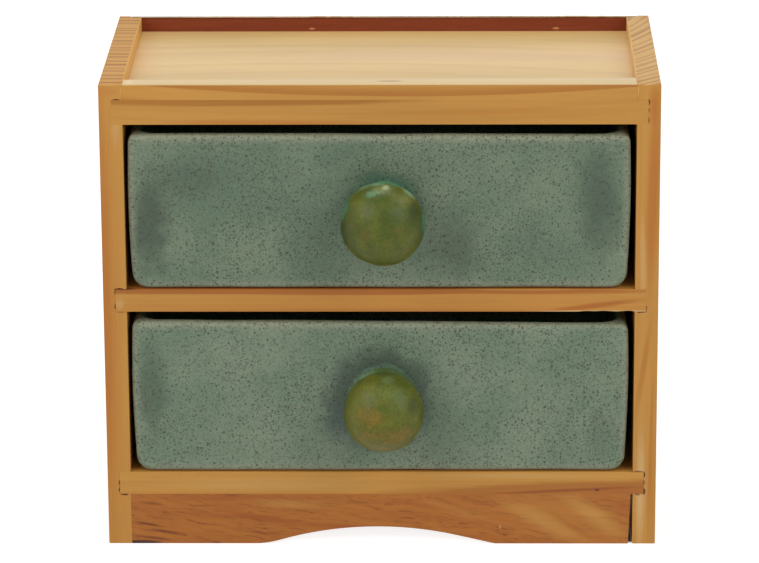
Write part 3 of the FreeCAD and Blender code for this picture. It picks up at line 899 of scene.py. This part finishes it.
def olive(name, base, patches):
    """Olive glaze on the knobs, which turns turquoise where it lies thick over the celadon."""
    material, shader, place = new_material(name)
    place = place["Object"]
    spot = in_mm(place)
    colour = mix(remap(noise(spot, 0.075, 3.0, 0.6), 0.32, 0.68), *base)
    rusty = remap(noise(spot, 0.85, 2.0, 0.7), 0.52, 0.7, 0.0, 0.4)
    colour = mix(rusty, colour, (112, 92, 30))
    colour = marked(colour, place, patches, (0.34, 0.34, 0.34))
    mottle = noise(spot, 0.5, 3.0, 0.7)
    colour = toned(colour, scaled(mottle, 0.56, scaled(noise(spot, 1.5, 2.0, 0.7), 0.55, 0.44)))
    grit = specks(place, 0.9, 0.55, 0.8, 0.1)
    colour = mix(times(grit["Specks"], 0.45), colour, (60, 58, 22))
    normal = bump(noise(spot, 0.3), 0.4, 0.3 * MM)
    finish(shader, colour, scaled(mottle, 0.2, 0.32), normal, 0.3)
    return material


# Back panel and brads

CHIPPED = [
    ((-38.5, 90.4, 240.6), (1.9, 2, 0.7), (206, 156, 98), 0.7, 0.6, 1.2),
    ((92.4, 90.4, 240.6), (2.2, 2, 0.8), (206, 156, 98), 0.7, 0.6, 1.2),
]


def stained_ply():
    """Thin plywood stained dark red-brown, with pale raw edges."""
    material, shader, place = new_material("stained_ply")
    grain_of = use(FIBRE, {"Vector": board_coordinates(place, "X")})
    fibre = grain_of["Fibre"]
    colour = mix(fibre, (100, 37, 21), (154, 76, 43))
    colour = mix(times(grain_of["Cloud"], 0.5), colour, (124, 54, 30))
    edge = minus(1.0, remap(calc("ABSOLUTE", axes(place["Normal"])["Y"]), 0.3, 0.8))
    colour = mix(edge, colour, (186, 146, 100))
    colour = marked(colour, place["Object"], CHIPPED, (0.3, 0.3, 0.3))
    normal = bump(fibre, 0.4, 0.15 * MM)
    finish(shader, colour, scaled(fibre, 0.2, 0.6), normal, 0.2)
    return material


def dull_steel():
    """Bright wire that has dulled, with a few rusty freckles."""
    material, shader, place = new_material("dull_steel")
    freckle = remap(noise(in_mm(place["Object"]), 1.6, 3.0), 0.58, 0.7)
    colour = mix(freckle, (168, 166, 160), (120, 78, 50))
    metal = minus(1.0, times(freckle, 0.8))
    feed(shader, {"Base Color": colour, "Metallic": metal, "Roughness": scaled(freckle, 0.4, 0.35)})
    return material


# The pieces


EARLY, LATE, END = (204, 147, 68), (174, 104, 34), (248, 248, 232)
REDDISH, ORANGE, PALE, BARK = (164, 94, 32), (188, 115, 42), (226, 192, 136), (92, 46, 24)


def pine(name, grain, pith, spacing, lean=0.0, bow=0.0, wander=1.5, uneven=0.8, **more):
    """The case's pine, with one board's growth rings."""
    rings = {"Pith": pith, "Spacing": spacing, "Lean": lean, "Bow": bow, "Wander": wander, "Uneven": uneven}
    return wood(name, grain, (EARLY, LATE, END), rings, **more)


def burnt(side):
    """Painted shade in the torn edges of one side's dados, darker where a tear is deeper."""
    marks = []
    for x, z, reach, tear in TEARS[side]:
        size = (0.75, reach) if abs(x) > 136 else (reach, 0.85)
        marks.append(((x, z), size, BARK, min(1.0, tear * 1.6), 0.5, 1.2))
    return at_depth(-56, 3, marks)


def at_depth(y, deep, marks):
    """Marks with their missing Y filled in: y for a centre's, and deep for a reach's."""
    def filled(place, missing):
        return place if len(place) == 3 else (place[0], missing, place[1])
    return [(filled(centre, y), filled(reach, deep), *rest) for centre, reach, *rest in marks]


LEFT_MARKS = [
    ((-143.5, -60, 120), (10, 40, 185), ORANGE, 0.95, 0.9, 0.5),
    ((-134, -60, 225), (3.5, 30, 15), PALE, 0.25, 0.9, 0.3),
    ((-137, -58, 243.5), (6, 8, 4), (198, 124, 66), 0.5, 0.8, 0.5),
    # Painted sheen on the side's top end, and painted light over the shade on its inner face above the tray.
    ((-136.5, 18, 248), (14, 110, 2.2), (236, 196, 144), 0.22, 0.3, 0.3),
    ((-130.3, 20, 244), (1.4, 120, 6), (232, 178, 92), 0.85, 0.4, 0.2),
]
RIGHT_MARKS = at_depth(-56, 20, [
    ((139, 190), (4.6, 30, 78), ORANGE, 0.85, 0.8, 0.4, -1.5),
    ((134.5, 150), (2.6, 34), PALE, 0.3, 0.9, 0.4, 1.5),
    ((135.2, 96), (2.2, 38), ORANGE, 0.6, 0.7, 0.4, -8),
    ((139.5, 52), (1.5, 62), ORANGE, 0.6, 0.7, 0.5, -1),
    ((134.5, 30), (3.4, 46), PALE, 0.55, 0.9, 0.3),
    ((140.5, 30), (2.6, 40), ORANGE, 0.35, 0.9, 0.3),
    ((139, 236), (4, 12, 16), ORANGE, 0.8, 0.9, 0.4),
    # Painted sheen on the side's top end, and painted light over the shade on its inner face above the tray.
    ((136.5, 18, 248), (14, 110, 2.2), (240, 208, 164), 0.32, 0.3, 0.3),
    ((130.3, 20, 244), (1.4, 120, 6), (236, 190, 120), 0.9, 0.4, 0.2),
])
TRAY_MARKS = [
    ((74, 36, 240), (170, 26, 4), (224, 186, 132), 0.5, 0.6, 0.5),
    ((40, 33, 240), (112, 13, 4), (214, 174, 122), 0.4, 0.5, 0.6),
    # The wood's honey band at the back, painted paler as painted light over the back panel's shade.
    ((0, 94, 240), (400, 34, 4), (250, 212, 138), 0.85, 0.8, 0.4),
    # Painted shade across the tray's middle, which evens out its light.
    ((-20, -8, 240), (400, 30, 4), (206, 170, 106), 0.6, 0.9, 0.4),
    # The wood's honey tone along the left side, painted paler as painted light over the side's shade.
    ((-134, 20, 240), (22, 80, 4), (230, 182, 104), 0.5, 0.9, 0.4),
    ((-38.5, 90.5, 239.5), (2.2, 1.2, 2), PALE, 0.9, 0.5, 0.9),
    ((92.4, 90.5, 239.5), (2.6, 1.3, 2), PALE, 0.9, 0.5, 0.9),
    ((-75, -57, 239.8), (112, 6, 4.6), (168, 106, 32), 0.75, 0.35, 0.4),
    ((-60, -57, 227), (70, 6, 3), ORANGE, 0.6, 0.8, 0.5),
    ((60, -57, 230), (120, 6, 6), (190, 134, 56), 0.5, 0.9, 0.4),
    ((60, -57, 233), (80, 6, 2.4), ORANGE, 0.3, 0.9, 0.5, 1),
]
LIP_MARKS = [
    ((-127, -50, 248), (5, 14, 1.3), (240, 222, 176), 0.7, 0.5, 0.4),
    ((5, -48.6, 247), (9, 1, 1.5), BARK, 1, 0.6, 0.4),
]
MIDDLE_MARKS = at_depth(-56, 14, [
    ((0, 131), (200, 9), ORANGE, 0.35, 0.9, 0.5),
    ((-25, 137.9), (215, 2.6), (171, 99, 35), 0.9, 0.5, 0.6),
    ((70, 138.9), (40, 1), EARLY, 0.6, 0.6, 0.5),
    ((10, 127.3), (150, 2), REDDISH, 0.4, 0.9, 0.5),
    ((108, 129.8), (32, 2.2), (176, 102, 36), 0.9, 0.7, 0.6, 7),
    ((112, 127), (42, 3, 0.8), PALE, 0.8, 0.6, 0.6),
    ((-134, 131), (3.5, 5, 4.5), PALE, 0.3, 0.9, 0.4),
    ((-131, 139), (7, 4, 0.7), BARK, 0.8, 0.8, 0.8),
    ((-131, 125.4), (6, 4, 0.5), BARK, 0.4, 0.8, 0.8),
    ((-40, 132.5), (110, 1.6), (200, 142, 58), 0.4, 0.9, 0.5),
])
BOTTOM_MARKS = at_depth(-56, 14, [
    ((-60, 33), (80, 5), (214, 168, 100), 0.5, 0.9, 0.4),
    ((70, 37.5), (70, 2.5), (214, 168, 100), 0.5, 0.9, 0.4),
    ((150, 30), (190, 7.5), REDDISH, 0.72, 0.4, 0.6, 1.5),
    ((124, 29.5), (20, 4.4), (172, 96, 44), 0.5, 0.8, 0.5),
    ((98, 29.6), (60, 12, 1.2), (142, 68, 28), 0.7, 0.8, 0.6, 3),
    ((112, 29.7), (1.7, 4, 1.1), (104, 50, 26), 0.9, 0.6, 0.3),
])
RUST, DARK_RUST, SAND = (160, 82, 27), (108, 50, 20), (210, 155, 78)
APRON_MARKS = at_depth(-50, 16, [
    ((-75, 25), (60, 2.6), RUST, 0.5, 0.8, 0.8),
    ((-119, 22), (10, 1.5), DARK_RUST, 0.7, 0.8, 1.4, -8),
    ((-92, 21), (13, 1.3), DARK_RUST, 0.55, 0.8, 1.4, 1),
    ((-121, 10.5), (12, 1.2), DARK_RUST, 0.85, 0.7, 1.6, -12),
    ((-112, 6.5), (13, 1.1), DARK_RUST, 0.8, 0.7, 1.6, -10),
    ((-118, 3), (15, 1), DARK_RUST, 0.7, 0.8, 1.6, -8),
    ((-128, -56, 0.6), (16, 12, 1.6), (60, 28, 20), 0.95, 0.6, 0.8),
    ((-66, 15), (44, 3), RUST, 0.8, 0.8, 0.7, -10),
    ((-72, 7), (30, 1.4), DARK_RUST, 0.4, 0.9, 1.4, -6),
    ((-14, 9), (46, 2.4), RUST, 0.6, 0.8, 0.7, -4),
    ((-12, 22.6), (18, 1.2), DARK_RUST, 0.4, 0.9, 1.4, -2),
    ((22, 21), (44, 3.2), RUST, 0.5, 0.9, 0.7, -8),
    ((-48, 22), (34, 4), SAND, 0.5, 0.9, 0.5, -4),
    ((40, 18), (36, 3.6), SAND, 0.35, 0.9, 0.4, -17),
    ((96, 14), (62, 26), (198, 134, 60), 0.6, 0.9, 0.3, -20),
    ((84, 12.5), (40, 7.4), SAND, 0.8, 0.9, 0.5, -27),
    ((112, 14.5), (30, 7.6), SAND, 0.9, 0.9, 0.5, -36),
    ((100, 9), (20, 2.6), RUST, 0.45, 0.9, 0.6, -33),
    ((120, 24), (9, 3), RUST, 0.35, 0.9, 0.6, -30),
    ((126, 20), (8, 8), RUST, 0.4, 0.9, 0.5),
    ((61.7, -56, 9.2), (0.7, 3, 2), PALE, 0.45, 0.8, 0.4),
])

# Each side's fifth value, top, is the painted sheen on its faces that look up.
SIDES = [
    ("left", (-150, -700, 0), 7.4, 0.25, (210, 154, 86), LEFT_MARKS, 11),
    ("right", (-70, 159, 0), 5.4, 0.18, (216, 166, 104), RIGHT_MARKS, 12),
]
for side, pith, spacing, contrast, top, marks, seed in SIDES:
    # burnt(side) gives painted shade in this side's torn dado edges.
    looks = {"contrast": contrast, "top": top, "marks": marks + burnt(side)}
    side_panel(side, pine(f"pine_{side}_side", "Z", pith, spacing, **looks), seed)

# top is the painted sheen on the tray floor's upper face.
looks = {"contrast": 0.14, "top_contrast": 1.4, "top": (222, 187, 120), "marks": TRAY_MARKS}
tray = pine("pine_tray_floor", "X", (-56, 470, 0), 7.0, lean=1.5, bow=2.5, **looks)
middle = pine("pine_middle_shelf", "X", (40, 60, 0), 6.0, contrast=0.2, marks=MIDDLE_MARKS)
bottom = pine("pine_bottom_shelf", "X", (-20, -60, 0), 6.0, contrast=0.2, marks=BOTTOM_MARKS)
chips = [(102 * MM, 131 * MM, 0.6 * MM)]
shelf_board("tray_floor", "top_panel", tray, ("dados", "top"))
shelf_board("middle_shelf_board", "middle_shelf", middle, spans=chips, seed=22)
shelf_board("bottom_shelf_board", "bottom_shelf", bottom, ("dados", "bottom"))
# top is the painted sheen on the lip's upper face.
looks = {"contrast": 0.8, "top_contrast": 0.1, "top": (216, 186, 126), "marks": LIP_MARKS}
looks |= {"lean": -0.68, "bow": 3.4, "wander": 0.8, "uneven": 0.0}
lip_strip(pine("pine_lip", "X", (-50, 647.7, 0), 11.0, **looks))
apron_rings = {"Pith": (0, -60, 0), "Spacing": 9.0, "Lean": 8.0, "Wander": 6.0}
apron_streaks = {"Turn": math.radians(-9), "Length": 34.0, "Width": 2.2, "Waviness": 9.0}
apron_colours = ((196, 124, 50), (144, 72, 25), END)
apron_board(wood("apron_wood", "X", apron_colours, apron_rings, APRON_MARKS, 0.15, streaks=apron_streaks))
back_sheet(stained_ply())
back_brads(dull_steel())

POOL, TEAL = (66, 84, 67), (62, 82, 70)
TURQUOISE, MINT = (74, 132, 100), (146, 182, 142)
UPPER_POOLS = at_depth(-56, 30, [
    ((-118, 174), (15, 38), POOL, 0.95, 0.8, 0.8),
    ((-98, 198), (32, 17), POOL, 0.5, 0.9, 0.7),
    ((112, 184), (15, 38), POOL, 0.8, 0.8, 0.7),
    ((40, 162), (20, 26), POOL, 0.6, 0.9, 0.8),
    ((1.7, 186), (30, 24), POOL, 0.4, 0.6, 0.6),
    ((1.7, 182), (23, 3, 22), (62, 106, 84), 0.75, 0.4, 0.6),
])
LOWER_POOLS = at_depth(-56, 30, [
    ((-119, 84), (12, 36), POOL, 0.65, 0.8, 0.8),
    ((-1.8, 79), (34, 33), TEAL, 0.85, 0.4, 0.5),
    ((-24, 66), (10, 14), (70, 92, 86), 0.5, 0.8, 0.6),
    ((113, 60), (10, 22), POOL, 0.4, 0.9, 0.5),
    ((0.9, 79.9), (19.2, 3, 19.2), (120, 152, 124), 0.65, 0.15, 0.3),
    ((2.3, 79.3), (18.8, 3, 18.8), (70, 98, 78), 0.9, 0.2, 0.3),
])
# pale_rim is each glaze's share of the rim's pale band, partly a painted sheen.
upper_glaze = celadon("celadon_upper", ((98, 120, 97), (118, 135, 110)), UPPER_POOLS, pale_rim=0.27)
lower_glaze = celadon("celadon_lower", ((106, 128, 104), (126, 142, 118)), LOWER_POOLS, pale_rim=0.22)
drawer_tub("upper", upper_glaze, seed=31)
drawer_tub("lower", lower_glaze, seed=32)

# SHADE is the dark green of the painted shade on the knobs' flanks and of the darker marks on their right.
EMBER, SHADE = (146, 114, 40), (50, 62, 22)
UPPER_RUNS = [
    # Painted shade on the knob's left and right flanks.
    ((-21, -79, 178), (18, 22, 26), SHADE, 0.75, 0.9, 0.5),
    ((25, -79, 176), (17, 22, 26), SHADE, 0.62, 0.9, 0.5),
    ((1.7, -58, 181), (34, 9, 34), TURQUOISE, 0.8, 0.3, 0.6),
    ((3, -71, 200.5), (20, 9, 9), TURQUOISE, 0.7, 0.5, 1.1),
    ((-5, -75.5, 199.3), (9, 6, 1.3), MINT, 0.6, 0.9, 1.2, 14),
    ((1, -82, 199.2), (7, 7, 2.6), (134, 150, 92), 0.6, 0.9, 1, 4),
    ((-3.5, -85, 197.6), (6.4, 6, 2), (110, 154, 112), 0.65, 0.9, 1.4, 8),
    ((14.4, -78, 197), (7.4, 6, 1.5), MINT, 0.7, 0.9, 0.9, -42),
    # A painted highlight near the top of the knob.
    ((3.6, -81.5, 200.2), (2.8, 5, 1.9), (184, 204, 162), 0.85, 1, 0.8),
    ((-17.6, -79, 187), (9, 7, 2.2), TURQUOISE, 0.75, 0.8, 0.9, 68),
    ((22.2, -79, 181), (2, 6, 10), TURQUOISE, 0.75, 0.8, 0.9),
    ((12, -84, 194.5), (7, 8, 4.4), (136, 138, 84), 0.45, 0.9, 0.8),
    ((17, -85.5, 189), (4.4, 9, 8), SHADE, 0.75, 0.9, 0.6),
    ((-7.5, -91.9, 177), (3.2, 9, 6.4), (120, 90, 38), 0.4, 0.9, 1.8),
    ((9.5, -92.6, 180), (4, 9, 4), (122, 98, 34), 0.4, 0.9, 1.8),
]
LOWER_RUNS = [
    ((1.7, -56, 80), (34, 3.6, 34), (72, 98, 56), 0.85, 0.5, 0.6),
    ((-10, -57, 92), (10, 5, 7), MINT, 0.4, 0.9, 0.8),
    ((2.3, -75, 101), (11, 9, 3.2), (62, 80, 26), 0.7, 0.8, 0.6),
    # Painted shade on the knob's left and right flanks.
    ((-19, -79, 84), (6, 14, 18), SHADE, 0.35, 0.9, 0.5),
    ((22.5, -79, 80), (6, 14, 20), SHADE, 0.35, 0.9, 0.5),
    # A painted highlight near the top of the knob.
    ((4.2, -82, 98.6), (6, 6, 2.4), (128, 150, 98), 0.5, 1, 1),
    ((4, -86, 93), (12, 12, 5), (118, 134, 62), 0.4, 0.9, 0.6),
    ((-5, -92.5, 81), (11, 14, 10), EMBER, 0.65, 1, 1.5),
    ((9, -91, 70.5), (14, 14, 8), EMBER, 0.7, 1, 1.5, 18),
    ((-5, -91, 71), (12, 14, 7), EMBER, 0.45, 1, 1.5),
    ((1, -86, 62.5), (15, 12, 5), (132, 122, 46), 0.55, 1, 1),
    ((17, -86, 86), (4, 12, 8), SHADE, 0.55, 0.9, 0.5),
]
upper_olive = olive("olive_upper", ((66, 84, 16), (98, 106, 30)), UPPER_RUNS)
lower_olive = olive("olive_lower", ((78, 94, 20), (108, 112, 34)), LOWER_RUNS)
drawer_knob("upper", upper_olive, radius=21.7, seed=1.3, press=0.5)
drawer_knob("lower", lower_olive, radius=20.9, seed=4.1, press=0.4)


# Floor, lights and camera

WHITE = (1, 1, 1, 1)


def lit_for_camera(tree):
    """1 for a ray from the camera, or one that a shiny or clear surface has turned."""
    path = node("ShaderNodeLightPath", {}, tree)
    seen = calc("MAXIMUM", path["Is Camera Ray"], path["Is Glossy Ray"])
    return calc("MAXIMUM", seen, path["Is Transmission Ray"])


def floor():
    """A white floor that keeps the box's shadow, and glows a little more under the arch."""
    mesh = bmesh.new()
    bmesh.ops.create_grid(mesh, x_segments=2, y_segments=2, size=6)
    data = bpy.data.meshes.new("floor")
    mesh.to_mesh(data)
    mesh.free()
    sheet = in_scene("floor", data)
    material, shader, place = new_material("white_floor")
    place = axes(place["Object"])
    low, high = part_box("front_apron")
    out = calc("ABSOLUTE", place["X"])
    beside_arch = remap(out, 0.085, 0.12)
    across = remap(out, high[0], high[0] + 6 * MM, 1.0, 0.0)
    behind, before = remap(place["Y"], low[1], low[1] + 4 * MM), remap(place["Y"], 0.09, 0.094, 1.0, 0.0)
    under = times(across, behind, before)
    glow = scaled(under, scaled(beside_arch, -0.85, 0.15), 0.7)
    feed(shader, {"Base Color": srgb(205, 205, 205), "Roughness": 1.0, "Specular IOR Level": 0.0})
    feed(shader, {"Emission Color": WHITE, "Emission Strength": times(lit_for_camera(shader.id_data), glow)})
    data.materials.append(material)


def softbox(name, place, aim, size, power):
    lamp = bpy.data.lights.new(name, "AREA")
    lamp.shape = "RECTANGLE"
    lamp.size, lamp.size_y = size
    lamp.energy = power
    light = in_scene(name, lamp)
    light.location = place
    light.rotation_euler = (Vector(aim) - Vector(place)).to_track_quat("-Z", "Y").to_euler()
    light.visible_camera = False


def room():
    """An even pale world, as a white tent gives, brighter to the camera and to shiny and clear rays than to
    other rays.
    """
    world = bpy.data.worlds.new("tent")
    bpy.context.scene.world = world
    world.use_nodes = True
    tree = world.node_tree
    strength = scaled(lit_for_camera(tree), 0.55, 0.35)
    feed(tree.nodes["Background"], {"Color": WHITE, "Strength": strength})


def camera():
    """The camera, turned by its yaw, its pitch and its roll."""
    focal_length, frame_width = 4268.306, 759  # in pixels
    lens = bpy.data.cameras.new("camera")
    lens.sensor_width = 36
    lens.lens = focal_length / frame_width * lens.sensor_width
    lens.clip_start, lens.clip_end = 0.05, 50
    eye = in_scene("camera", lens)
    yaw, pitch, roll = (math.radians(angle) for angle in (1.01249, 17.0113, 0.31657))
    aim = Matrix.Rotation(yaw, 3, "Z") @ Matrix.Rotation(-pitch, 3, "X") @ Matrix.Rotation(roll, 3, "Y")
    right, ahead, up = aim.col
    turn = Matrix((right, up, -ahead)).transposed().to_4x4()
    place = Vector((0.036496, -2.147952, 0.783105))
    eye.matrix_world = Matrix.Translation(place) @ turn
    bpy.context.scene.camera = eye


floor()
room()
for side, x in (("left", -1.25), ("right", 1.25)):
    softbox(f"{side}_box", (x, -1.3, 1.15), (0, 0, 0.12), (1.1, 1.1), power=13)
softbox("top_box", (0.0, 0.15, 1.5), (0, 0, 0.12), (1.0, 0.6), power=4)
softbox("back_box", (0.0, 2.2, 1.0), (0, 0, 0.2), (3.2, 1.4), power=12)
camera()
bpy.context.scene.view_settings.view_transform = "Standard"

bpy.context.view_layer.update()
